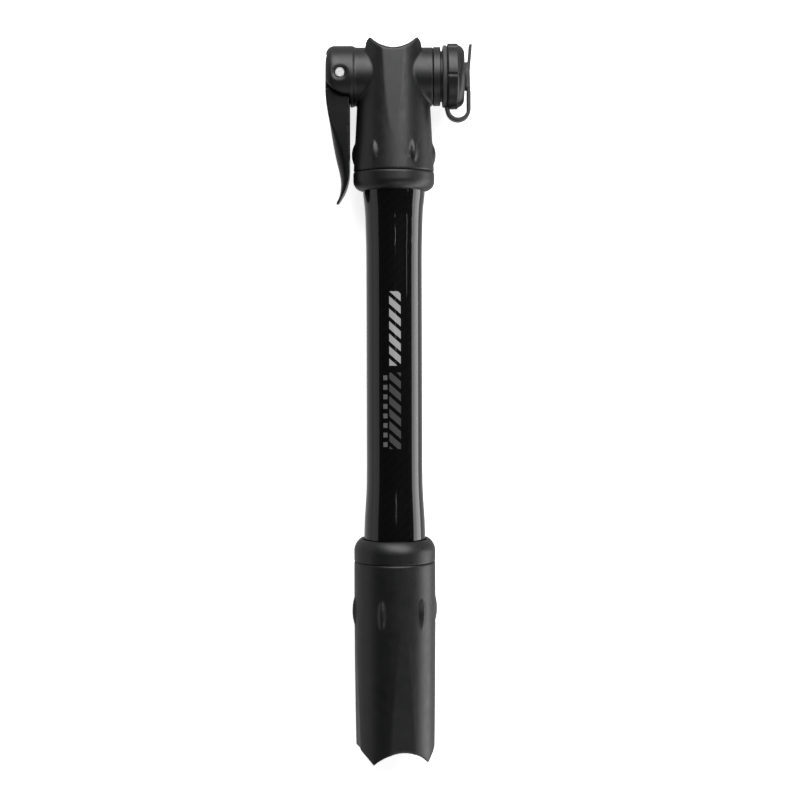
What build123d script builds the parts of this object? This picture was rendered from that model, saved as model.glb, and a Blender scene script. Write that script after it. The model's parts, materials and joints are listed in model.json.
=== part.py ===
from build123d import *
import os
from math import cos, radians, sin

# A bicycle mini pump lying on its back: +Y runs along the pump towards the head, +X points the way the
# valve arm's nut faces, and +Z is up. The origin is on the pump's axis at the middle of the barrel's waist.

# ---- driving dimensions, mm ----
WAIST_R = 8.6              # barrel, outside, at its waist
WAIST_TOP_Y = 35.0
WAIST_END_Y = -30.0
BARREL_HEAD_R = 9.57       # barrel, outside, where it enters the head
BARREL_HANDLE_R = 9.45     # barrel, outside, inside the handle
BARREL_BORE_R = 7.35
BARREL_TOP_Y = 76.0
BARREL_END_Y = -105.0

BODY_R = 12.53             # skirt ring and handle sleeve, outside
GAP = 0.06                 # parting line between two mouldings
PART_EDGE = 0.3            # chamfer on one side of a parting line
RUNNING = 0.06             # radial clearance of a running fit

HEAD_BASE_Y = 61.0         # head_body meets its skirt ring here
HEAD_BASE_R = 12.42
HEAD_TOP_Y = 102.0
HEAD_TOP_R = 10.24
HEAD_VALLEY_Y = 98.3       # bottom of the crown's concave cuts
HEAD_CROWN_R = 8.6         # radius of those cuts
SKIRT_END_Y = 55.2
FACET_START_Y = 71.7
FACET_DEPTH = 0.74
SIDE_FACET_START_Y = 84.0  # the side facets are behind the valve arm up to the horns
SIDE_FACET_R = 8.1
CROWN_BEVEL = 0.7

ARM_Y = 90.6               # axis of the valve arm
ARM_R = 8.95
ARM_END_X = 12.1
ARM_FILLET = 0.5           # where the arm leaves the cone
PLUNGER_R = 4.1

CLEVIS_R = 9.44
CLEVIS_START_X = -12.0
CLEVIS_END_X = -20.8
CLEVIS_LOW_Y = ARM_Y - CLEVIS_R - 1
CHEEK_X = -13.4            # the cheeks' lower edge meets the full arm here
CHEEK_LOW_Y = ARM_Y - 6.33
SLOT_END_X = -11.1
CLEVIS_SLOT = 10.9         # width of the slot for the lever
CLEVIS_ROOF_Y = 97.0       # underside of the bridge over the slot
PIN_X = -16.3
PIN_R = 1.48
RECESS_R = 2.4             # shallow seat round the pin's ends
RECESS_Z = 9.0
LEVER_WIDTH = 10.4
CAM_R = 3.85
CAM_OFFSET = 1.2           # cam's eccentricity
CAM_ANGLE = 130            # direction of the offset at rest, degrees from +X
CAM_GAP = 0.15

SLEEVE_FLANGE_R = 9.04
FLANGE_END_X = 14.4
SPIGOT_R = 7.8
SPIGOT_END_X = 19.2
SLEEVE_CAVITY_R = 6.2
NUT_START_X = 14.95
NUT_END_X = 21.75
NUT_PAD_R = 10.1
NUT_FRONT_X = 20.0         # inner face of the nut's front wall
MOUTH_R = 4.15
GROMMET_BORE_R = 3.0
GROMMET_START_X = 15.95

LOOP_X = 19.9              # centre of the strap's loop
LOOP_Y = 80.4
LOOP_R = 3.25
STRAP_THICK = 1.2
STRAP_WIDTH = 4.6

HANDLE_TWIST = 12.0        # degrees that the handle is turned about +Y at rest
HANDLE_TOP_Y = -51.9
HANDLE_PART_Y = -58.8      # parting line under the mouth ring
HANDLE_SPIGOT_Y = -55.6    # top of the shell's spigot, inside the mouth ring
HANDLE_SPIGOT_R = 11.25
HANDLE_TIP_Y = -120.2
HANDLE_TIP_R = 12.2        # the sleeve's outside, tapered to here at its tip
HANDLE_VALLEY_Y = -115.65
HANDLE_CROWN_R = 10.6
HANDLE_BORE_R = 10.3
MOUTH_BORE_R = 9.85
HANDLE_FLOOR_Y = -107.5    # inner face of the handle's end wall
HANDLE_FACET_Y = -78.5      # the taper and the facets start here
HANDLE_FACET_DEPTH = 0.7
HANDLE_BEVEL = 0.4

ROD_R = 3.0
ROD_BORE_R = 1.6
PISTON_BOTTOM_Y = 65.5
PISTON_TOP_Y = 71.5

STUD_WIDTH = 2.4
STUD_PROUD = 0.85
HEAD_STUD_Y, HEAD_STUD_LENGTH = 66.3, 8.0
HANDLE_STUD_Y, HANDLE_STUD_LENGTH = -73.9, 11.5

os.makedirs("parts", exist_ok=True)


def save(piece, name):
    """Labels a finished piece and writes its STEP file."""
    piece.part.label = name
    export_step(piece.part, f"parts/{name}.step")


def radial_plane(angle):
    """The plane that holds the pump's axis and the outward direction at an angle from +Z towards +X."""
    a = radians(angle)
    return Plane(origin=(0, 0, 0), x_dir=(sin(a), 0, cos(a)), z_dir=(-cos(a), 0, sin(a)))


def arm_plane(x):
    """A plane square to the valve arm, with its centre on the arm's axis."""
    return Plane(origin=(x, ARM_Y, 0), x_dir=(0, 1, 0), z_dir=(1, 0, 0))


def ring(plane, outer, inner, length):
    """A tube wall that grows from a plane."""
    with BuildSketch(plane) as wall:
        Circle(outer)
        Circle(inner, mode=Mode.SUBTRACT)
    extrude(wall.sketch, amount=length)


def bore(plane, radius, length):
    """A round hole that is cut from a plane."""
    with BuildSketch(plane) as hole:
        Circle(radius)
    extrude(hole.sketch, amount=length, mode=Mode.SUBTRACT)


def across(y):
    """A plane square to the pump's axis, facing the head."""
    return Plane(origin=(0, y, 0), x_dir=(1, 0, 0), z_dir=(0, 1, 0))


def turned(points):
    """A solid of revolution about the pump's axis from its (radius, y) outline."""
    with BuildSketch(Plane.XY) as outline:
        with BuildLine():
            Polyline(*points, close=True)
        make_face()
    revolve(outline.sketch, axis=Axis.Y)


def stud(angle, surface_r, y, length):
    """One raised spindle-shaped grip stud on a round wall."""
    plane = radial_plane(angle)
    axis_r = surface_r + STUD_PROUD - STUD_WIDTH / 2
    with BuildSketch(plane) as half:
        with BuildLine():
            ThreePointArc((axis_r, y - length / 2), (axis_r + STUD_WIDTH / 2, y), (axis_r, y + length / 2))
            Line((axis_r, y + length / 2), (axis_r, y - length / 2))
        make_face()
    revolve(half.sketch, axis=Axis(plane.from_local_coords((axis_r, 0, 0)), (0, 1, 0)))


def facet(angle, start, end):
    """A flat cut that leans in from the (radius, y) start to the (radius, y) end."""
    clear = 6
    with BuildSketch(radial_plane(angle)) as wedge:
        with BuildLine():
            Polyline(start, end, (end[0] + clear, end[1]), (start[0] + clear, start[1]), close=True)
        make_face()
    extrude(wedge.sketch, amount=2 * clear, both=True, mode=Mode.SUBTRACT)


def saddle(angle, valley_y, radius):
    """A round tunnel across a crown, which leaves horns on both sides of it."""
    direction = 1 if valley_y > 0 else -1
    plane = radial_plane(angle)
    turned_plane = Plane(origin=(0, 0, 0), x_dir=plane.z_dir, z_dir=plane.x_dir)
    centre = turned_plane.to_local_coords(Vector(0, valley_y + direction * radius, 0))
    with BuildSketch(turned_plane) as tunnel:
        with Locations((centre.X, centre.Y)):
            Circle(radius)
    extrude(tunnel.sketch, amount=2 * BODY_R, both=True, mode=Mode.SUBTRACT)


def crown_rim(piece, valley_y, least_r):
    """The outer edges of a crown's saddles, between the tips of its horns."""
    def is_rim(edge):
        centre = edge.center()
        on_crown = abs(centre.Y) > abs(valley_y) - 0.1 and edge.length > 2.5
        return on_crown and (centre.X**2 + centre.Z**2)**0.5 > least_r
    return piece.edges().filter_by(is_rim)


def head_radius(y):
    """The head cone's outside radius at a height."""
    return HEAD_TOP_R + (HEAD_TOP_Y - y) / (HEAD_TOP_Y - HEAD_BASE_Y) * (HEAD_BASE_R - HEAD_TOP_R)


# ---- barrel ----
with BuildPart() as barrel_tube:
    with BuildSketch(Plane.XY):
        with BuildLine():
            Line((BARREL_BORE_R, BARREL_END_Y), (BARREL_BORE_R, BARREL_TOP_Y))
            Line((BARREL_BORE_R, BARREL_TOP_Y), (BARREL_HEAD_R, BARREL_TOP_Y))
            Line((BARREL_HEAD_R, BARREL_TOP_Y), (BARREL_HEAD_R, SKIRT_END_Y + 0.3))
            Spline((BARREL_HEAD_R, SKIRT_END_Y + 0.3), (WAIST_R + 0.54, 51.0), (WAIST_R + 0.18, 44.0),
                   (WAIST_R, WAIST_TOP_Y), tangents=[(0, -1), (0, -1)])
            Line((WAIST_R, WAIST_TOP_Y), (WAIST_R, WAIST_END_Y))
            Spline((WAIST_R, WAIST_END_Y), (WAIST_R + 0.12, -37.0), (WAIST_R + 0.52, -43.5),
                   (BARREL_HANDLE_R, HANDLE_TOP_Y - 1.1), tangents=[(0, -1), (0, -1)])
            Line((BARREL_HANDLE_R, HANDLE_TOP_Y - 1.1), (BARREL_HANDLE_R, BARREL_END_Y))
            Line((BARREL_HANDLE_R, BARREL_END_Y), (BARREL_BORE_R, BARREL_END_Y))
        make_face()
    revolve(axis=Axis.Y)
save(barrel_tube, "barrel_tube")

CAP_PLUG_Y = 72.0
CAP_TOP_Y = 78.0
SEAL_Y = 74.0
with BuildPart() as barrel_end_cap:
    turned([(1.5, CAP_PLUG_Y), (BARREL_BORE_R, CAP_PLUG_Y), (BARREL_BORE_R, SEAL_Y - 0.8),
            (5.95, SEAL_Y - 0.8), (5.95, SEAL_Y + 0.8), (BARREL_BORE_R, SEAL_Y + 0.8),
            (BARREL_BORE_R, BARREL_TOP_Y), (BARREL_HEAD_R, BARREL_TOP_Y), (BARREL_HEAD_R, CAP_TOP_Y),
            (1.5, CAP_TOP_Y)])
save(barrel_end_cap, "barrel_end_cap")

with BuildPart() as barrel_seal:
    with BuildSketch(Plane.XY):
        with Locations((6.65, SEAL_Y)):
            Circle(0.69)
    revolve(axis=Axis.Y)
save(barrel_seal, "barrel_seal")

with BuildPart() as check_valve:
    turned([(0, CAP_TOP_Y), (4.2, CAP_TOP_Y), (4.2, CAP_TOP_Y + 0.4), (1.2, CAP_TOP_Y + 1.2),
            (0, CAP_TOP_Y + 1.2)])
save(check_valve, "check_valve")

BUSHING_TOP_Y = -96.0
with BuildPart() as rod_bushing:
    ring(across(BARREL_END_Y), BARREL_BORE_R, ROD_R + RUNNING, BUSHING_TOP_Y - BARREL_END_Y)
    chamfer(rod_bushing.edges().group_by(Axis.Y)[-1], 0.5)
save(rod_bushing, "rod_bushing")

# ---- head ----
SPIGOT_Y = 57.2            # the head's spigot ends here, inside the skirt ring
HEAD_SPIGOT_R = 10.95
TAIL_R = 6.6
TAIL_X = 5.0
CAVITY_TOP_Y = 80.3
with BuildPart() as head_body:
    turned([(0, SPIGOT_Y), (HEAD_SPIGOT_R, SPIGOT_Y), (HEAD_SPIGOT_R, HEAD_BASE_Y),
            (HEAD_BASE_R, HEAD_BASE_Y), (HEAD_TOP_R, HEAD_TOP_Y), (0, HEAD_TOP_Y)])
    saddle(90, HEAD_VALLEY_Y, HEAD_CROWN_R)
    for side in (0, 180):
        facet(side, (head_radius(FACET_START_Y), FACET_START_Y),
              (head_radius(HEAD_VALLEY_Y) - FACET_DEPTH - 0.2, HEAD_TOP_Y + 1))
    for side in (90, 270):
        facet(side, (head_radius(SIDE_FACET_START_Y), SIDE_FACET_START_Y), (SIDE_FACET_R, HEAD_TOP_Y))
    with BuildSketch(arm_plane(CLEVIS_START_X - 0.6)):
        Circle(ARM_R)
    extrude(amount=ARM_END_X - CLEVIS_START_X + 0.6)
    with BuildSketch(arm_plane(CLEVIS_END_X)):
        Circle(CLEVIS_R)
    extrude(amount=CLEVIS_START_X - CLEVIS_END_X)
    circles = head_body.edges().filter_by(GeomType.CIRCLE)
    clevis_rims = circles.filter_by(lambda e: abs(e.radius - CLEVIS_R) < 0.01)
    fillet(clevis_rims.sort_by(Axis.X)[0], 2.6)
    chamfer(clevis_rims.sort_by(Axis.X)[-1], 0.4)
    tall = head_body.edges().filter_by(lambda e: e.bounding_box().size.Y > 10)
    joins = tall.filter_by(lambda e: 3 < abs(e.center().X) < 11.9)
    fillet(joins, ARM_FILLET)
    saddle(0, HEAD_VALLEY_Y, HEAD_CROWN_R)
    chamfer(crown_rim(head_body, HEAD_VALLEY_Y, 8).filter_by(lambda e: abs(e.center().X) < 6), CROWN_BEVEL)
    for angle in range(30, 360, 60):
        stud(angle, head_radius(HEAD_STUD_Y), HEAD_STUD_Y, HEAD_STUD_LENGTH)
    bore(across(SPIGOT_Y), BARREL_HEAD_R, CAP_TOP_Y - SPIGOT_Y)
    bore(across(CAP_TOP_Y), 5.0, CAVITY_TOP_Y - CAP_TOP_Y)
    bore(across(CAVITY_TOP_Y), 1.5, ARM_Y - CAVITY_TOP_Y)
    bore(arm_plane(SLOT_END_X - 1), PLUNGER_R + RUNNING, ARM_END_X - SLOT_END_X + 1)
    bore(arm_plane(TAIL_X), TAIL_R, ARM_END_X - TAIL_X)
    with BuildSketch(Plane.XY):
        with BuildLine():
            Polyline((SLOT_END_X, CLEVIS_ROOF_Y), (SLOT_END_X, CHEEK_LOW_Y), (CHEEK_X, CHEEK_LOW_Y),
                     (CHEEK_X, CLEVIS_LOW_Y), (CLEVIS_END_X - 1, CLEVIS_LOW_Y),
                     (CLEVIS_END_X - 1, CLEVIS_ROOF_Y), close=True)
        make_face()
    extrude(amount=CLEVIS_SLOT / 2, both=True, mode=Mode.SUBTRACT)
    with BuildSketch(Plane.XY):
        with BuildLine():
            ThreePointArc((CLEVIS_END_X - 0.5, ARM_Y + 0.6), (-18.9, ARM_Y - 4.3), (-14.0, CHEEK_LOW_Y))
            Polyline((-14.0, CHEEK_LOW_Y), (CHEEK_X, CHEEK_LOW_Y), (CHEEK_X, CLEVIS_LOW_Y),
                     (CLEVIS_END_X - 0.5, CLEVIS_LOW_Y), (CLEVIS_END_X - 0.5, ARM_Y + 0.6))
        make_face()
    extrude(amount=CLEVIS_R, both=True, mode=Mode.SUBTRACT)
    bore(Plane((PIN_X, ARM_Y, -CLEVIS_R)), PIN_R, 2 * CLEVIS_R)
    bore(Plane((PIN_X, ARM_Y, RECESS_Z)), RECESS_R, 1)
    bore(Plane((PIN_X, ARM_Y, -RECESS_Z - 1)), RECESS_R, 1)
save(head_body, "head_body")

with BuildPart() as head_skirt_ring:
    with BuildSketch(Plane.XY):
        with BuildLine():
            Polyline((BARREL_HEAD_R + 0.05, SKIRT_END_Y), (BARREL_HEAD_R + 0.05, SPIGOT_Y - 0.1),
                     (HEAD_SPIGOT_R + 0.05, SPIGOT_Y - 0.1), (HEAD_SPIGOT_R + 0.05, HEAD_BASE_Y - GAP),
                     (BODY_R - PART_EDGE, HEAD_BASE_Y - GAP), (BODY_R, HEAD_BASE_Y - GAP - PART_EDGE),
                     (BODY_R, SKIRT_END_Y + 3.0))
            ThreePointArc((BODY_R, SKIRT_END_Y + 3.0), (11.66, SKIRT_END_Y + 0.9),
                          (BARREL_HEAD_R + 0.3, SKIRT_END_Y))
            Line((BARREL_HEAD_R + 0.3, SKIRT_END_Y), (BARREL_HEAD_R + 0.05, SKIRT_END_Y))
        make_face()
    revolve(axis=Axis.Y)
save(head_skirt_ring, "head_skirt_ring")

# ---- lever ----
with BuildPart() as lever_pin:
    with BuildSketch(Plane.XY):
        with Locations((PIN_X, ARM_Y)):
            Circle(PIN_R)
    extrude(amount=CLEVIS_R - 0.15, both=True)
    chamfer(lever_pin.edges().filter_by(GeomType.CIRCLE), 0.25)
save(lever_pin, "lever_pin")

cam = (PIN_X + CAM_OFFSET * cos(radians(CAM_ANGLE)), ARM_Y + CAM_OFFSET * sin(radians(CAM_ANGLE)))
LEVER_INNER_X = -13.6
with BuildPart() as thumb_lever:
    with BuildSketch(Plane.XY):
        with BuildLine():
            Spline((cam[0] - CAM_R, cam[1]), (-20.8, 84.0), (-19.9, 77.3), (-18.7, 69.8), (-17.4, 63.4),
                   (-16.3, 57.6), (-16.65, 54.2), (-17.8, 51.7), tangents=[(0, -1), (-0.85, -1)])
            ThreePointArc((-17.8, 51.7), (-17.5, 51.0), (-16.85, 51.5))
            Spline((-16.85, 51.5), (-15.4, 54.1), (-14.2, 57.2), (LEVER_INNER_X, 62),
                   tangents=[(0.5, 1), (0, 1)])
            Line((LEVER_INNER_X, 62), (LEVER_INNER_X, ARM_Y - 5))
            Line((LEVER_INNER_X, ARM_Y - 5), (cam[0], cam[1]))
            Line((cam[0], cam[1]), (cam[0] - CAM_R, cam[1]))
        make_face()
        with Locations(cam):
            Circle(CAM_R)
    extrude(amount=LEVER_WIDTH / 2, both=True)
    fillet(thumb_lever.edges().filter_by(lambda e: e.length > 35 and abs(e.center().Z) > 3), 1.0)
    bore(Plane((PIN_X, ARM_Y, -LEVER_WIDTH / 2)), PIN_R + RUNNING, LEVER_WIDTH)
save(thumb_lever, "thumb_lever")

# ---- plunger and what it pushes ----
PLUNGER_START_X = PIN_X + CAM_R + CAM_OFFSET * cos(radians(CAM_ANGLE)) + CAM_GAP
PLUNGER_END_X = 12.1
SEAL_X = (-9.0, 8.5)
with BuildPart() as plunger:
    with BuildSketch(arm_plane(PLUNGER_START_X)):
        Circle(PLUNGER_R)
    extrude(amount=PLUNGER_END_X - PLUNGER_START_X)
    for x in SEAL_X:
        with BuildSketch(arm_plane(x - 0.75)):
            Circle(PLUNGER_R + 1)
            Circle(PLUNGER_R - 1.2, mode=Mode.SUBTRACT)
        extrude(amount=1.5, mode=Mode.SUBTRACT)
    with BuildSketch(arm_plane(-5)):
        Circle(PLUNGER_R + 1)
        Circle(PLUNGER_R - 0.8, mode=Mode.SUBTRACT)
    extrude(amount=10, mode=Mode.SUBTRACT)
    bore(arm_plane(-1), 1.0, PLUNGER_END_X + 1)
    bore(across(ARM_Y - PLUNGER_R), 0.9, 2 * PLUNGER_R)
save(plunger, "plunger")

with BuildPart() as plunger_seals:
    for x in SEAL_X:
        with BuildSketch(Plane.XY):
            with Locations((x, ARM_Y + PLUNGER_R - 0.56)):
                Circle(0.6)
        revolve(axis=Axis((0, ARM_Y, 0), (1, 0, 0)))
save(plunger_seals, "plunger_seals")

with BuildPart() as valve_insert:
    ring(arm_plane(PLUNGER_END_X), SLEEVE_CAVITY_R - 0.15, 1.2, 1.9)
    chamfer(valve_insert.edges().group_by(Axis.X)[-1], 0.3)
save(valve_insert, "valve_insert")

with BuildPart() as valve_grommet:
    grommet_length = NUT_FRONT_X - 0.05 - GROMMET_START_X
    ring(arm_plane(GROMMET_START_X), SLEEVE_CAVITY_R - 0.05, GROMMET_BORE_R, grommet_length)
save(valve_grommet, "valve_grommet")

# ---- valve end of the arm ----
with BuildPart() as valve_sleeve:
    with BuildSketch(arm_plane(TAIL_X)):
        Circle(TAIL_R)
    extrude(amount=ARM_END_X + 1 - TAIL_X)
    with BuildSketch(arm_plane(ARM_END_X + GAP)):
        Circle(SLEEVE_FLANGE_R)
    extrude(amount=FLANGE_END_X - ARM_END_X - GAP)
    chamfer(valve_sleeve.edges().filter_by(GeomType.CIRCLE).sort_by(SortBy.RADIUS)[-2:], 0.2)
    with BuildSketch(arm_plane(FLANGE_END_X)):
        Circle(SPIGOT_R)
    extrude(amount=SPIGOT_END_X - FLANGE_END_X)
    bore(arm_plane(TAIL_X), PLUNGER_R + RUNNING, ARM_END_X - TAIL_X)
    bore(arm_plane(ARM_END_X), SLEEVE_CAVITY_R, SPIGOT_END_X - ARM_END_X)
save(valve_sleeve, "valve_sleeve")

RING_START_X, RING_END_X, RING_R = 15.05, 16.4, 9.57
GROOVE_R = 8.6
PAD_END_X = 19.75
with BuildPart() as collar_nut:
    with BuildSketch(Plane.XY):
        with BuildLine():
            Polyline((NUT_START_X, ARM_Y), (NUT_START_X, ARM_Y + GROOVE_R), (16.5, ARM_Y + GROOVE_R),
                     (16.5, ARM_Y + NUT_PAD_R - 0.3), (16.8, ARM_Y + NUT_PAD_R),
                     (PAD_END_X - 0.2, ARM_Y + NUT_PAD_R), (PAD_END_X, ARM_Y + NUT_PAD_R - 0.2),
                     (PAD_END_X, ARM_Y + NUT_PAD_R - 0.45))
            ThreePointArc((PAD_END_X, ARM_Y + NUT_PAD_R - 0.45), (20.95, ARM_Y + 9.0),
                          (NUT_END_X, ARM_Y + 7.6))
            Polyline((NUT_END_X, ARM_Y + 7.6), (NUT_END_X, ARM_Y), (NUT_START_X, ARM_Y))
        make_face()
    revolve(axis=Axis((0, ARM_Y, 0), (1, 0, 0)))
    with BuildSketch(arm_plane(16.5)):
        with PolarLocations(NUT_PAD_R, 6, start_angle=-25):
            Rectangle(0.7, 0.8)
    extrude(amount=PAD_END_X - 16.5, mode=Mode.SUBTRACT)
    bore(arm_plane(NUT_START_X), SPIGOT_R + RUNNING, NUT_FRONT_X - NUT_START_X)
    bore(arm_plane(NUT_FRONT_X), MOUTH_R, NUT_END_X - NUT_FRONT_X)
save(collar_nut, "collar_nut")

with BuildPart() as strap_ring:
    ring(arm_plane(RING_START_X), RING_R, GROOVE_R + RUNNING, RING_END_X - RING_START_X)
    fillet(strap_ring.edges().filter_by(GeomType.CIRCLE).sort_by(SortBy.RADIUS)[-2:], 0.4)
save(strap_ring, "strap_ring")

STRAP_IN, STRAP_OUT = LOOP_R - STRAP_THICK / 2, LOOP_R + STRAP_THICK / 2
STRAP_END_Y = 83.5
lift = radians(10)         # the loop's left end stops short of the ring by this angle
outer_left = (LOOP_X - STRAP_OUT * cos(lift), LOOP_Y - STRAP_OUT * sin(lift))
inner_left = (LOOP_X - STRAP_IN * cos(lift), LOOP_Y - STRAP_IN * sin(lift))
ring_low_y = ARM_Y - RING_R
with BuildPart() as cap_strap:
    with BuildSketch(Plane.XY):
        with BuildLine():
            Line((RING_START_X + 0.2, ring_low_y + 0.1), outer_left)
            ThreePointArc(outer_left, (LOOP_X, LOOP_Y - STRAP_OUT), (LOOP_X + STRAP_OUT, LOOP_Y))
            Polyline((LOOP_X + STRAP_OUT, LOOP_Y), (LOOP_X + STRAP_OUT, STRAP_END_Y),
                     (LOOP_X + STRAP_IN, STRAP_END_Y), (LOOP_X + STRAP_IN, LOOP_Y))
            ThreePointArc((LOOP_X + STRAP_IN, LOOP_Y), (LOOP_X, LOOP_Y - STRAP_IN), inner_left)
            Polyline(inner_left, (RING_END_X - 0.05, LOOP_Y), (RING_END_X - 0.05, ring_low_y + 0.1),
                     (RING_START_X + 0.2, ring_low_y + 0.1))
        make_face()
    extrude(amount=STRAP_WIDTH / 2, both=True)
save(cap_strap, "cap_strap")

TAB_TOP = (24.2, 100.3)
with BuildPart() as dust_cap:
    with BuildSketch(arm_plane(20.2)):
        Circle(3.0)
    extrude(amount=1.7)
    with BuildSketch(arm_plane(21.85)):
        Circle(4.4)
    extrude(amount=0.85)
    with BuildSketch(Plane.XY):
        with BuildLine():
            Polyline((22.6, STRAP_END_Y + 0.1), (23.7, STRAP_END_Y + 0.1), (23.5, 92.0), TAB_TOP,
                     (TAB_TOP[0] - 0.95, TAB_TOP[1]), (22.6, 92.0), close=True)
        make_face()
    extrude(amount=STRAP_WIDTH / 2, both=True)
save(dust_cap, "dust_cap")

# ---- piston and rod ----
with BuildPart() as piston_head:
    turned([(2.3, PISTON_BOTTOM_Y), (7.2, PISTON_BOTTOM_Y), (7.2, 67.6), (5.9, 67.6), (5.9, 69.4),
            (7.2, 69.4), (7.2, PISTON_TOP_Y), (4.0, PISTON_TOP_Y), (4.0, 69.0), (2.3, 69.0)])
save(piston_head, "piston_head")

with BuildPart() as piston_seal:
    with BuildSketch(Plane.XY):
        with Locations((6.62, 68.5)):
            Circle(0.7)
    revolve(axis=Axis.Y)
save(piston_seal, "piston_seal")

with BuildPart() as piston_clip:
    ring(across(69.1), 3.6, 2.2, 0.9)
save(piston_clip, "piston_clip")

ROD_END_Y = -110.5
with BuildPart() as piston_rod:
    turned([(0, 60), (ROD_BORE_R, 60), (ROD_BORE_R, ROD_END_Y), (ROD_R, ROD_END_Y),
            (ROD_R, PISTON_BOTTOM_Y - 0.1), (2.2, PISTON_BOTTOM_Y - 0.1), (2.2, 70.4), (0, 70.4)])
save(piston_rod, "piston_rod")

# ---- handle ----
SCREW_SEAT_Y = -112.4      # floor of the screw head's recess
SCREW_HEAD_Y = -114.2
SCREW_HEAD_R = 3.1
with BuildPart() as handle_mouth_ring:
    with BuildSketch(Plane.XY):
        with BuildLine():
            part_y = HANDLE_PART_Y + GAP
            Polyline((MOUTH_BORE_R, HANDLE_TOP_Y - 0.4), (MOUTH_BORE_R, HANDLE_SPIGOT_Y + 0.1),
                     (HANDLE_SPIGOT_R + 0.05, HANDLE_SPIGOT_Y + 0.1), (HANDLE_SPIGOT_R + 0.05, part_y),
                     (BODY_R, part_y), (BODY_R, HANDLE_TOP_Y - 4.2))
            ThreePointArc((BODY_R, HANDLE_TOP_Y - 4.2), (11.9, HANDLE_TOP_Y - 1.5), (10.5, HANDLE_TOP_Y))
            Line((10.5, HANDLE_TOP_Y), (MOUTH_BORE_R, HANDLE_TOP_Y - 0.4))
        make_face()
    revolve(axis=Axis.Y)
save(handle_mouth_ring, "handle_mouth_ring")

with BuildPart() as handle_shell:
    turned([(0, HANDLE_SPIGOT_Y), (HANDLE_SPIGOT_R, HANDLE_SPIGOT_Y), (HANDLE_SPIGOT_R, HANDLE_PART_Y),
            (BODY_R - PART_EDGE, HANDLE_PART_Y), (BODY_R, HANDLE_PART_Y - PART_EDGE),
            (BODY_R, HANDLE_FACET_Y), (HANDLE_TIP_R, HANDLE_TIP_Y), (0, HANDLE_TIP_Y)])
    for side in range(0, 360, 90):
        facet(side + HANDLE_TWIST, (BODY_R, HANDLE_FACET_Y),
              (HANDLE_TIP_R - HANDLE_FACET_DEPTH, HANDLE_TIP_Y - 0.5))
    for side in (0, 90):
        saddle(side + HANDLE_TWIST, HANDLE_VALLEY_Y, HANDLE_CROWN_R)
    chamfer(crown_rim(handle_shell, HANDLE_VALLEY_Y, 8.5), HANDLE_BEVEL)
    for angle in range(-30, 330, 60):
        stud(angle + HANDLE_TWIST, BODY_R, HANDLE_STUD_Y, HANDLE_STUD_LENGTH)
    bore(across(HANDLE_FLOOR_Y), HANDLE_BORE_R, HANDLE_SPIGOT_Y - HANDLE_FLOOR_Y)
    bore(across(ROD_END_Y), ROD_R, HANDLE_FLOOR_Y - ROD_END_Y)
    bore(across(SCREW_SEAT_Y), ROD_BORE_R, ROD_END_Y - SCREW_SEAT_Y)
    bore(across(HANDLE_TIP_Y), SCREW_HEAD_R + 0.2, SCREW_SEAT_Y - HANDLE_TIP_Y)
save(handle_shell, "handle_shell")

with BuildPart() as rod_bumper:
    ring(across(HANDLE_FLOOR_Y), 9.2, ROD_R, 2.1)
    fillet(rod_bumper.edges().group_by(Axis.Y)[-1].sort_by(SortBy.RADIUS)[-1], 0.5)
save(rod_bumper, "rod_bumper")

with BuildPart() as rod_screw:
    with BuildSketch(across(SCREW_HEAD_Y)):
        Circle(SCREW_HEAD_R)
    extrude(amount=SCREW_SEAT_Y - SCREW_HEAD_Y)
    chamfer(rod_screw.edges().group_by(Axis.Y)[0], 0.3)
    with BuildSketch(across(SCREW_SEAT_Y)):
        Circle(ROD_BORE_R)
    extrude(amount=14)
    with BuildSketch(across(SCREW_HEAD_Y)):
        RegularPolygon(1.45, 6)
    extrude(amount=1.3, mode=Mode.SUBTRACT)
save(rod_screw, "rod_screw")
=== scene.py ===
import bmesh
import bpy
import json
import math
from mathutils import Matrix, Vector


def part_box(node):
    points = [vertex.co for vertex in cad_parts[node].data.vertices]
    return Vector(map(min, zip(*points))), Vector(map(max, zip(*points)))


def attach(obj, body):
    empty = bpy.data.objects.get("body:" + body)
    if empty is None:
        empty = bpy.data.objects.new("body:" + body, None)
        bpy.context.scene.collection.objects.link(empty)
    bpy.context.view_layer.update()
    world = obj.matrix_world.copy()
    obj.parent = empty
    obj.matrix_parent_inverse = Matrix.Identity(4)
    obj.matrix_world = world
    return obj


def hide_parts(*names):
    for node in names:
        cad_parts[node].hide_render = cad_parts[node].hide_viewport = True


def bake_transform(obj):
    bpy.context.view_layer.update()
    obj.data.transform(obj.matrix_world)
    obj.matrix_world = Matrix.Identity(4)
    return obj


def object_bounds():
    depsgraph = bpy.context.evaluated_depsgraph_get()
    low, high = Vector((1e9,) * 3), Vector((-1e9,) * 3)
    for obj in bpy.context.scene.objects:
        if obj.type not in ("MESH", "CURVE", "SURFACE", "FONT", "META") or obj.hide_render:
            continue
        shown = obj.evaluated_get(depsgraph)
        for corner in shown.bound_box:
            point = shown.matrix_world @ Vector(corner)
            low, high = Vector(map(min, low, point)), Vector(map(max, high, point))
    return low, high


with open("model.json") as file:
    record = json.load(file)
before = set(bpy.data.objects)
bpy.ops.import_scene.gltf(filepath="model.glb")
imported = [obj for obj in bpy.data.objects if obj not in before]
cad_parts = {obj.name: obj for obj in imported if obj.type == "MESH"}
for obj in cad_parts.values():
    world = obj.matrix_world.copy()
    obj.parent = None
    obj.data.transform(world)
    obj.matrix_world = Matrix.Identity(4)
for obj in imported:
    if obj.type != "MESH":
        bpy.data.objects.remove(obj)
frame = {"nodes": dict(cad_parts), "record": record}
CAD_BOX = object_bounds()

MM = 0.001
JOINTS = {joint["name"]: joint for joint in frame["record"]["behaviour"]["joints"]}
PLUMB = Vector((0, 0, 1))


# ---------------------------------------------------------------- helpers

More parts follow.
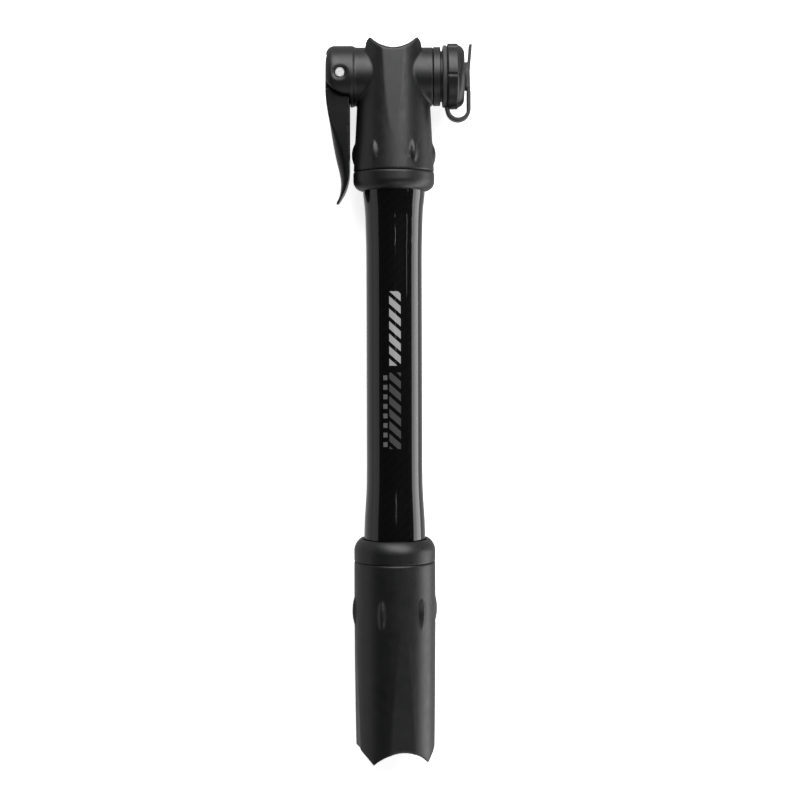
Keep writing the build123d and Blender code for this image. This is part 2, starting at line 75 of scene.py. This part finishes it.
def new_object(name, mesh):
    """A new object in the scene's collection."""
    made = bpy.data.objects.new(name, mesh)
    bpy.context.scene.collection.objects.link(made)
    return made


def mesh_from(name, verts, faces):
    """A mesh object from points in metres, with its normals facing out."""
    mesh = bpy.data.meshes.new(name)
    mesh.from_pydata([tuple(v) for v in verts], [], faces)
    shape = bmesh.new()
    shape.from_mesh(mesh)
    bmesh.ops.recalc_face_normals(shape, faces=shape.faces)
    shape.to_mesh(mesh)
    shape.free()
    return new_object(name, mesh)


def apply_modifiers(piece):
    """Makes a piece's modifiers real and shades it smooth."""
    bpy.context.view_layer.update()
    evaluated = piece.evaluated_get(bpy.context.evaluated_depsgraph_get())
    mesh = bpy.data.meshes.new_from_object(evaluated)
    piece.modifiers.clear()
    piece.data = mesh
    for face in mesh.polygons:
        face.use_smooth = True


def cad_copy(node, name):
    """A new piece with the same mesh as a CAD node."""
    return new_object(name, frame["nodes"][node].data.copy())


def rounded(piece, voxel, passes):
    """Remeshes a piece at an even grain and softens its edges, as a moulding's are."""
    remesh = piece.modifiers.new("grain", "REMESH")
    remesh.mode = "VOXEL"
    remesh.voxel_size = voxel
    smooth = piece.modifiers.new("soften", "SMOOTH")
    smooth.factor = 0.5
    smooth.iterations = passes
    apply_modifiers(piece)


def place(piece, body, slot, material, *nodes):
    """Rides a piece on its body, gives it its finish and hides the CAD nodes it stands for."""
    piece.data.materials.clear()
    piece.data.materials.append(material)
    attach(piece, body)
    if nodes:
        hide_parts(*nodes)


def smoothstep(low, high, value):
    """0 below low, 1 above high and a smooth rise between."""
    t = min(max((value - low) / (high - low), 0), 1)
    return t * t * (3 - 2 * t)


# ---------------------------------------------------------------- materials

class Nodes:
    """Short names for building one node material."""

    def __init__(self, name):
        self.material = bpy.data.materials.new(name)
        self.material.use_nodes = True
        self.tree = self.material.node_tree
        self.shader = self.tree.nodes["Principled BSDF"]
        self.coords = self.add("ShaderNodeTexCoord").outputs["Object"]

    def add(self, kind, **settings):
        node = self.tree.nodes.new(kind)
        for key, value in settings.items():
            setattr(node, key, value)
        return node

    def link(self, source, target):
        self.tree.links.new(source, target)

    def noise(self, scale, detail=2.0, roughness=0.5, vector=None):
        node = self.add("ShaderNodeTexNoise")
        node.inputs["Scale"].default_value = scale
        node.inputs["Detail"].default_value = detail
        node.inputs["Roughness"].default_value = roughness
        self.link(vector or self.coords, node.inputs["Vector"])
        return node.outputs["Fac"]

    def ramp(self, source, stops):
        node = self.add("ShaderNodeValToRGB")
        elements = node.color_ramp.elements
        while len(elements) < len(stops):
            elements.new(0.5)
        for element, (position, colour) in zip(elements, stops):
            element.position = position
            element.color = (*colour, 1)
        self.link(source, node.inputs["Fac"])
        return node.outputs["Color"]

    def span(self, source, low, high, from_low=0.0, from_high=1.0):
        node = self.add("ShaderNodeMapRange")
        node.inputs["From Min"].default_value = from_low
        node.inputs["From Max"].default_value = from_high
        node.inputs["To Min"].default_value = low
        node.inputs["To Max"].default_value = high
        self.link(source, node.inputs["Value"])
        return node.outputs["Result"]

    def maths(self, operation, first, second=None):
        node = self.add("ShaderNodeMath", operation=operation)
        for socket, value in zip(node.inputs, (first, second)):
            if isinstance(value, (int, float)):
                socket.default_value = value
            elif value is not None:
                self.link(value, socket)
        return node.outputs[0]

    def mix(self, factor, first, second):
        node = self.add("ShaderNodeMix", data_type="RGBA")
        factor_socket, first_socket, second_socket = (node.inputs[i] for i in (0, 6, 7))
        for socket, value in ((factor_socket, factor), (first_socket, first), (second_socket, second)):
            if isinstance(value, (int, float)):
                socket.default_value = value
            elif isinstance(value, tuple):
                socket.default_value = (*value, 1)
            else:
                self.link(value, socket)
        return node.outputs[2]

    def bump(self, height, strength, distance, normal=None):
        node = self.add("ShaderNodeBump")
        node.inputs["Strength"].default_value = strength
        node.inputs["Distance"].default_value = distance
        self.link(height, node.inputs["Height"])
        if normal:
            self.link(normal, node.inputs["Normal"])
        return node.outputs["Normal"]

    def set(self, socket, value):
        target = self.shader.inputs[socket]
        if isinstance(value, (int, float)):
            target.default_value = value
        elif isinstance(value, tuple):
            target.default_value = (*value, 1)
        else:
            self.link(value, target)


class SkyNodes(Nodes):
    """The same short names for the sky, whose coordinates are the direction looked in."""

    def __init__(self, world):
        self.tree = world.node_tree
        self.coords = self.add("ShaderNodeTexCoord").outputs["Generated"]


def moulded_plastic(name, dark, light, roughness, specular=0.5, relief=0.35, spread=0.07):
    """Satin moulded plastic: fine spark grain, faint mottling and paler, slightly worn edges."""
    grain = 0.22 * MM
    made = Nodes(name)
    mottle = made.noise(90, 4, 0.6)
    body = made.ramp(mottle, [(0.3, dark), (0.7, light)])
    edge = made.span(made.add("ShaderNodeNewGeometry").outputs["Pointiness"], 0, 1, 0.53, 0.62)
    scuff = made.maths("MULTIPLY", edge, made.span(made.noise(700, 5, 0.7), 0.2, 1, 0.4, 0.7))
    worn = tuple(c * 2.2 + 0.012 for c in light)
    made.set("Base Color", made.mix(made.maths("MULTIPLY", scuff, 0.45), body, worn))
    fine = made.noise(1 / grain, 3, 0.65)
    wide = made.noise(380, 3, 0.5)
    both = made.maths("ADD", made.maths("MULTIPLY", fine, 0.6), made.maths("MULTIPLY", wide, 0.4))
    made.set("Roughness", made.span(both, roughness - spread, roughness + spread, 0.35, 0.65))
    made.set("Normal", made.bump(fine, relief, 0.02 * MM, made.bump(wide, relief / 3, 0.1 * MM)))
    made.set("Specular IOR Level", specular)
    return made.material


def rubber(name):
    """Matte black rubber with a dusty bloom and a fine pebbled skin."""
    made = Nodes(name)
    bloom = made.noise(260, 5, 0.65)
    black, dusty = (0.012, 0.012, 0.013), (0.03, 0.03, 0.031)
    made.set("Base Color", made.ramp(bloom, [(0.35, black), (0.75, dusty)]))
    pebble = made.noise(5200, 3, 0.6)
    made.set("Roughness", made.span(bloom, 0.5, 0.72, 0.3, 0.7))
    made.set("Normal", made.bump(pebble, 0.3, 0.03 * MM))
    made.set("Sheen Weight", 0.12)
    made.set("Sheen Roughness", 0.5)
    return made.material


def metal(name, colour, roughness, scratch_axis):
    """Bare metal with fine drawn lines that run along one axis."""
    made = Nodes(name)
    stretch = made.add("ShaderNodeMapping")
    squeeze = 40.0
    scale = tuple(1.0 if axis == scratch_axis else squeeze for axis in "XYZ")
    stretch.inputs["Scale"].default_value = scale
    made.link(made.coords, stretch.inputs["Vector"])
    lines = made.noise(160, 4, 0.7, stretch.outputs["Vector"])
    tint = tuple(c * 0.82 for c in colour)
    made.set("Base Color", made.mix(made.span(lines, 0, 1, 0.35, 0.65), tint, colour))
    made.set("Metallic", 1.0)
    made.set("Roughness", made.span(lines, roughness - 0.05, roughness + 0.08, 0.3, 0.7))
    made.set("Normal", made.bump(lines, 0.08, 0.02 * MM))
    return made.material


WEAVE_R = 8.5 * MM         # the radius at which the weave and the print are measured round the barrel
TOW = 0.8 * MM             # width of one woven tow
FIBRE_DARK, FIBRE_LIGHT = (0.0004, 0.0004, 0.0005), (0.0018, 0.0018, 0.0021)
PRINT_WHITE = (0.8, 0.8, 0.81)

# Each block of the print: its middle and half its length along the pump, its left and right edges round the
# barrel, how far its bars slant, their pitch, how much of the pitch a bar fills, and how strong the ink is.
BARREL_PRINT = [
    {"middle": 12.8 * MM, "half": 11.3 * MM, "left": -1.5 * MM, "right": 2.0 * MM,
     "slant": 0.9, "pitch": 3.8 * MM, "fill": 0.62, "strength": 0.34},
    {"middle": -12.2 * MM, "half": 11.6 * MM, "left": -1.5 * MM, "right": 2.0 * MM,
     "slant": 0.9, "pitch": 3.8 * MM, "fill": 0.62, "strength": 0.06},
    {"middle": -12.2 * MM, "half": 11.6 * MM, "left": -3.4 * MM, "right": -2.1 * MM,
     "slant": 0.0, "pitch": 2.9 * MM, "fill": 0.5, "strength": 0.12},
]


def twill(made, around, along):
    """A 2/2 twill of tows: which way each cell's tow runs (1 round, 0 along) and how high its crown is."""
    across, up = (made.maths("DIVIDE", coord, TOW) for coord in (around, along))
    cell = made.maths("SUBTRACT", made.maths("FLOOR", across), made.maths("FLOOR", up))
    fours = made.maths("MULTIPLY", made.maths("FLOOR", made.maths("DIVIDE", cell, 4)), 4)
    warp = made.maths("LESS_THAN", made.maths("SUBTRACT", cell, fours), 1.5)
    across_wave, up_wave = (
        made.maths("SINE", made.maths("MULTIPLY", made.maths("FRACT", coord), math.pi))
        for coord in (across, up))
    crown = made.maths("ADD", made.maths("MULTIPLY", warp, across_wave),
                       made.maths("MULTIPLY", made.maths("SUBTRACT", 1.0, warp), up_wave))
    return warp, crown


def printed_block(made, block, around, along, front):
    """The ink of one block of slanted bars on the front of the barrel."""
    from_middle = made.maths("ABSOLUTE", made.maths("SUBTRACT", along, block["middle"]))
    inside_y = made.maths("LESS_THAN", from_middle, block["half"])
    inside_x = made.maths("MULTIPLY", made.maths("GREATER_THAN", around, block["left"]),
                          made.maths("LESS_THAN", around, block["right"]))
    lean = made.maths("ADD", along, made.maths("MULTIPLY", around, block["slant"]))
    along_pitch = made.maths("FRACT", made.maths("DIVIDE", lean, block["pitch"]))
    bar = made.maths("LESS_THAN", along_pitch, block["fill"])
    inside = made.maths("MULTIPLY", inside_y, inside_x)
    shown = made.maths("MULTIPLY", inside, made.maths("MULTIPLY", bar, front))
    return made.maths("MULTIPLY", shown, block["strength"])


def barrel_lacquer(name):
    """Woven black fibre under thick clear gloss, with a plain printed band of slanted bars."""
    made = Nodes(name)
    split = made.add("ShaderNodeSeparateXYZ")
    made.link(made.coords, split.inputs[0])
    x, y, z = split.outputs
    around = made.maths("MULTIPLY", made.maths("ARCTAN2", x, z), WEAVE_R)
    warp, crown = twill(made, around, y)
    fibres = made.span(made.noise(4200, 2, 0.5), 0.6, 1)
    tone = made.maths("MULTIPLY", made.maths("ADD", made.maths("MULTIPLY", warp, 0.5), 0.5), fibres)
    weave = made.mix(tone, FIBRE_DARK, FIBRE_LIGHT)
    front = made.maths("GREATER_THAN", z, 0.0)
    ink = None
    for block in BARREL_PRINT:
        shown = printed_block(made, block, around, y, front)
        ink = shown if ink is None else made.maths("MAXIMUM", ink, shown)
    made.set("Base Color", made.mix(ink, weave, PRINT_WHITE))
    made.set("Roughness", made.span(crown, 0.42, 0.3))
    made.set("Normal", made.bump(crown, 0.03, 0.03 * MM))
    made.set("Coat Weight", 1.0)
    made.set("Coat Roughness", 0.04)
    made.set("Coat IOR", 1.5)
    made.set("Specular IOR Level", 0.04)
    return made.material


MOULDED = moulded_plastic("moulded_black", (0.0025, 0.0026, 0.0028), (0.005, 0.0052, 0.0055), 0.42,
                          specular=0.42)
LEVER = moulded_plastic("lever_black", (0.0025, 0.0026, 0.0028), (0.004, 0.0041, 0.0044), 0.3,
                        specular=0.26, relief=0.04, spread=0.03)
NYLON = moulded_plastic("grey_nylon", (0.09, 0.09, 0.095), (0.13, 0.13, 0.135), 0.5)
RUBBER = rubber("black_rubber")
STEEL = metal("bright_steel", (0.82, 0.82, 0.83), 0.3, "Z")
ALUMINIUM = metal("rod_aluminium", (0.78, 0.79, 0.8), 0.28, "Y")
BARREL = barrel_lacquer("barrel_gloss")
SLOT_MATERIAL = {
    "moulded_black": MOULDED, "lever_black": LEVER, "grey_nylon": NYLON, "black_rubber": RUBBER,
    "bright_steel": STEEL, "rod_aluminium": ALUMINIUM, "barrel_gloss": BARREL,
}


def finish_cad_nodes():
    """Gives every CAD node its slot's material."""
    slots = {row["node"]: row["material_slot"] for row in frame["record"]["subparts"]}
    for node, piece in frame["nodes"].items():
        material = SLOT_MATERIAL[slots[node]]
        if not piece.material_slots:
            piece.data.materials.append(material)
        for slot in piece.material_slots:
            slot.material = material


# ---------------------------------------------------------------- pieces

def moulding(node, body, voxel=0.3 * MM, passes=5):
    """A CAD moulding with its edges softened."""
    piece = cad_copy(node, f"{node}_moulding")
    rounded(piece, voxel, passes)
    place(piece, body, "moulded_black", MOULDED, node)


def outline_at(mesh, y):
    """The least and greatest x of a mesh where a plane square to the pump cuts it."""
    crossings = []
    for edge in mesh.edges:
        a, b = (mesh.vertices[i].co for i in edge.vertices)
        if (a.y - y) * (b.y - y) < 0:
            crossings.append(a.x + (b.x - a.x) * (y - a.y) / (b.y - a.y))
    return min(crossings), max(crossings)


LEVER_BLEND = 4.5 * MM     # below the pin, where the arm takes over from the cam boss
LEVER_OVERLAP = 1.0 * MM   # how far the boss runs on into the arm
LEVER_WALL = 1.3 * MM      # thickness left between the hollow and the back
LEVER_ARCH = 2.6 * MM      # how far the back is rounded at most
SPOON_LOSS = 1.2 * MM      # how much of that rounding goes again at the spoon's end
SPOON_START, SPOON_LENGTH = 0.87, 0.135    # the spoon's rounded end, as shares of the arm's length
LEVER_STATIONS, LEVER_COLUMNS = 70, 28


def lever_arm():
    """The arm below the cam, lofted inside the CAD lever's outline."""
    pin = Vector(JOINTS["lever_swing"]["pos_m"])
    low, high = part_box("thumb_lever")
    half_width = (high.z - low.z) / 2
    top_y, tip_y = pin.y - LEVER_BLEND, low.y + 0.05 * MM
    cad_mesh = frame["nodes"]["thumb_lever"].data
    columns, around = LEVER_COLUMNS, 2 * LEVER_COLUMNS
    verts, faces = [], []
    for k in range(LEVER_STATIONS + 1):
        s = k / LEVER_STATIONS
        y = top_y + (tip_y - top_y) * s
        outer, inner = outline_at(cad_mesh, y)
        thick = inner - outer
        # the back turns from flat to round, and the spoon's end rounds off in width
        arch = LEVER_ARCH * smoothstep(0.2, 0.6, s) - SPOON_LOSS * smoothstep(0.7, 0.95, s)
        arch = min(arch, thick * 0.7)
        taper = half_width * (1 - 0.1 * smoothstep(0.3, 1, s))
        w = taper * math.sqrt(max(1 - max((s - SPOON_START) / SPOON_LENGTH, 0) ** 2, 0.02))
        hollow = max(thick - arch - LEVER_WALL, 0) * smoothstep(0.0, 0.1, s) * (1 - smoothstep(0.6, 0.8, s))
        for c in range(columns):
            u = -1 + 2 * c / (columns - 1)
            verts.append(Vector((outer + arch * (1 - math.sqrt(max(1 - u * u, 0))), y, w * u)))
        for c in range(columns):
            u = 1 - 2 * c / (columns - 1)
            dish = hollow * (1 - smoothstep(0.62, 0.8, abs(u)))
            verts.append(Vector((inner - dish, y, w * u)))
    for k in range(LEVER_STATIONS):
        for c in range(around):
            a, b = k * around + c, k * around + (c + 1) % around
            faces.append((a, b, b + around, a + around))
    faces.append(tuple(range(around)))
    faces.append(tuple(range(LEVER_STATIONS * around, (LEVER_STATIONS + 1) * around)))
    return mesh_from("lever_arm", verts, faces), top_y


def thumb_lever():
    """The locking lever: the CAD cam boss with the lofted arm below it."""
    arm, top_y = lever_arm()
    lever = cad_copy("thumb_lever", "thumb_lever_moulding")
    shape = bmesh.new()
    shape.from_mesh(lever.data)
    cut = bmesh.ops.bisect_plane(
        shape, geom=shape.verts[:] + shape.edges[:] + shape.faces[:],
        plane_co=(0, top_y - LEVER_OVERLAP, 0), plane_no=(0, -1, 0), clear_outer=True)
    rim = [part for part in cut["geom_cut"] if isinstance(part, bmesh.types.BMEdge)]
    bmesh.ops.holes_fill(shape, edges=rim)
    shape.from_mesh(arm.data)
    shape.to_mesh(lever.data)
    shape.free()
    bpy.data.objects.remove(arm)
    rounded(lever, 0.2 * MM, 5)
    place(lever, "lever", "lever_black", LEVER, "thumb_lever")


def strip(name, route, thickness, width):
    """A rubber strip with round edges along a route in the XY plane."""
    edge, corners = thickness * 0.38, 5
    verts, faces, profile = [], [], []
    for quarter, (sx, sz) in enumerate(((1, 1), (-1, 1), (-1, -1), (1, -1))):
        for c in range(corners + 1):
            turn = math.radians(90 * quarter + 90 * c / corners)
            profile.append((sx * (thickness / 2 - edge) + edge * math.cos(turn),
                            sz * (width / 2 - edge) + edge * math.sin(turn)))
    for i, point in enumerate(route):
        before, after = route[max(i - 1, 0)], route[min(i + 1, len(route) - 1)]
        side = (after - before).normalized().cross(PLUMB)
        verts += [point + side * a + PLUMB * b for a, b in profile]
    around = len(profile)
    for i in range(len(route) - 1):
        for c in range(around):
            a, b = i * around + c, i * around + (c + 1) % around
            faces.append((a, b, b + around, a + around))
    faces += [tuple(range(around)), tuple(range((len(route) - 1) * around, len(route) * around))]
    return mesh_from(name, verts, faces)


def cap_strap():
    """The looped strap, which bends between the nut's ring and the cap."""
    centre = Vector(JOINTS["cap_swing"]["pos_m"])
    low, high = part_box("cap_strap")
    thickness = 1.2 * MM
    radius = centre.y - low.y - thickness / 2
    top = Vector((low.x + thickness / 2, high.y - 0.2 * MM, 0))
    route = [top, top + Vector((0.12 * MM, -0.5 * MM, 0))]
    loop_start, loop_turn, loop_steps = 190, 170, 40
    for k in range(loop_steps + 1):
        turn = math.radians(loop_start + loop_turn * k / loop_steps)
        route.append(centre + radius * Vector((math.cos(turn), math.sin(turn), 0)))
    # the straight leg runs on into the cap's tab
    leg_top, leg_steps = high.y + 2.28 * MM, 6
    for k in range(1, leg_steps + 1):
        route.append(Vector((centre.x + radius, centre.y + (leg_top - centre.y) * k / leg_steps, 0)))
    piece = strip("cap_strap_loop", route, thickness, high.z - low.z)
    piece.data.materials.append(RUBBER)
    for face in piece.data.polygons:
        face.use_smooth = True
    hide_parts("cap_strap")
    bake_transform(piece)


def dust_cap():
    """The rubber cap, softened like its strap."""
    piece = cad_copy("dust_cap", "dust_cap_rubber")
    rounded(piece, 0.16 * MM, 3)
    place(piece, "cap", "black_rubber", RUBBER, "dust_cap")


# ---------------------------------------------------------------- stage, lights and camera

FLOOR_GLOW = 0.74
FLOOR_REACH = 3.0
SKY_GLOW = 0.045           # the even sky above level
LOWER_GLOW = 0.5           # the sky below level, which mirrors show in place of the floor
CARD_GLOW = 3.8            # what the pale card adds to it on the nut's side

# Soft edges in the sky. Each is the range of the view direction's x, y or z over which it fades.
LEVEL_EDGE = (-0.03, 0.0)         # z: where the lower glow ends
CARD_LOW_EDGE = (-0.47, -0.41)    # z: the card's lower edge
CARD_SIDE_EDGE = (0.2, 0.4)       # x: the card's edge towards the pump
CARD_HEAD_EDGE = (0.09, 0.13)     # y: the card's end on the head's side


def stage():
    """A plain pale floor under the pump. Mirror reflections pass it and show the lower sky instead."""
    floor_z = CAD_BOX[0].z - 0.05 * MM
    corners = [(-1, -1), (1, -1), (1, 1), (-1, 1)]
    mesh = bpy.data.meshes.new("floor")
    mesh.from_pydata([(x * FLOOR_REACH, y * FLOOR_REACH, floor_z) for x, y in corners], [], [(0, 1, 2, 3)])
    floor = new_object("floor", mesh)
    made = Nodes("pale_floor")
    pale, paler = (0.84, 0.84, 0.84), (0.86, 0.86, 0.86)
    made.set("Base Color", made.ramp(made.noise(3, 2), [(0.3, pale), (0.7, paler)]))
    made.set("Roughness", 0.9)
    made.set("Specular IOR Level", 0.1)
    made.set("Emission Color", (1.0, 1.0, 1.0))
    made.set("Emission Strength", FLOOR_GLOW)
    floor.data.materials.append(made.material)
    floor.visible_glossy = False


def area_light(name, place_at, size, power, aim=(0, 0, 0)):
    """A soft rectangular light that faces a point. Its size is its level width and its height."""
    data = bpy.data.lights.new(name, "AREA")
    data.shape = "RECTANGLE"
    data.size, data.size_y = size
    data.energy = power
    light = new_object(name, data)
    light.location = place_at
    light.rotation_euler = (Vector(aim) - Vector(place_at)).to_track_quat("-Z", "Y").to_euler()
    return light


def lights():
    """Soft boxes on both sides, past the head and past the grip, and a small one that evens the floor."""
    area_light("right_strip", (0.60, -0.16, 0.075), (0.58, 0.15), 0.8)
    area_light("right_line", (0.50, 0.17, 0.40), (0.28, 0.02), 0.05)
    area_light("left_box", (-0.68, 0.0, 0.14), (1.3, 0.32), 0.8)
    area_light("head_box", (0.17, 0.53, 0.62), (0.9, 0.58), 10.0, aim=(0, 0.06, 0))
    area_light("far_box", (0.0, 0.75, 0.30), (0.9, 0.36), 3.8, aim=(0, 0.06, 0))
    area_light("grip_box", (0.30, -0.62, 0.46), (0.8, 0.34), 1.8, aim=(0, 0.02, 0))
    floor_box = area_light("floor_box", (0.10, -0.06, 0.60), (0.22, 0.08), 0.25)
    floor_box.data.spread = math.radians(12)
    # straight down, with its long side along the pump
    floor_box.rotation_euler = (0, 0, math.radians(90))


def sky():
    """A faint even sky. Below level it is a soft glow, with a pale card on the nut's side."""
    world = bpy.data.worlds.new("studio")
    world.use_nodes = True
    world.cycles.sampling_method = "NONE"
    made = SkyNodes(world)
    split = made.add("ShaderNodeSeparateXYZ")
    made.link(made.coords, split.inputs[0])
    x, y, z = split.outputs
    below = made.span(z, 1, 0, *LEVEL_EDGE)
    card = made.maths("MULTIPLY", made.span(z, 0, 1, *CARD_LOW_EDGE), below)
    card = made.maths("MULTIPLY", card, made.span(x, 0, 1, *CARD_SIDE_EDGE))
    card = made.maths("MULTIPLY", card, made.span(y, 1, 0, *CARD_HEAD_EDGE))
    glow = made.maths("ADD", made.maths("MULTIPLY", below, LOWER_GLOW - SKY_GLOW),
                      made.maths("MULTIPLY", card, CARD_GLOW))
    background = world.node_tree.nodes["Background"]
    background.inputs["Color"].default_value = (1, 1, 1, 1)
    made.link(made.maths("ADD", glow, SKY_GLOW), background.inputs["Strength"])
    bpy.context.scene.world = world


def camera():
    """A view from straight above the pump, over the upper barrel, shifted to frame the whole pump."""
    data = bpy.data.cameras.new("camera")
    data.lens, data.sensor_width = 71.5, 36
    data.shift_y = -0.089
    eye = new_object("camera", data)
    eye.location = (0.00178, 0.0127, 0.491)
    eye.rotation_euler = (0, 0, -0.0027)
    bpy.context.scene.camera = eye
    bpy.context.scene.view_settings.view_transform = "Standard"


finish_cad_nodes()
moulding("head_body", "pump_body")
moulding("handle_shell", "handle")
moulding("collar_nut", "collar", 0.16 * MM, 3)
moulding("head_skirt_ring", "pump_body", 0.22 * MM, 2)
moulding("handle_mouth_ring", "handle", 0.22 * MM, 2)
thumb_lever()
cap_strap()
dust_cap()
stage()
lights()
sky()
camera()
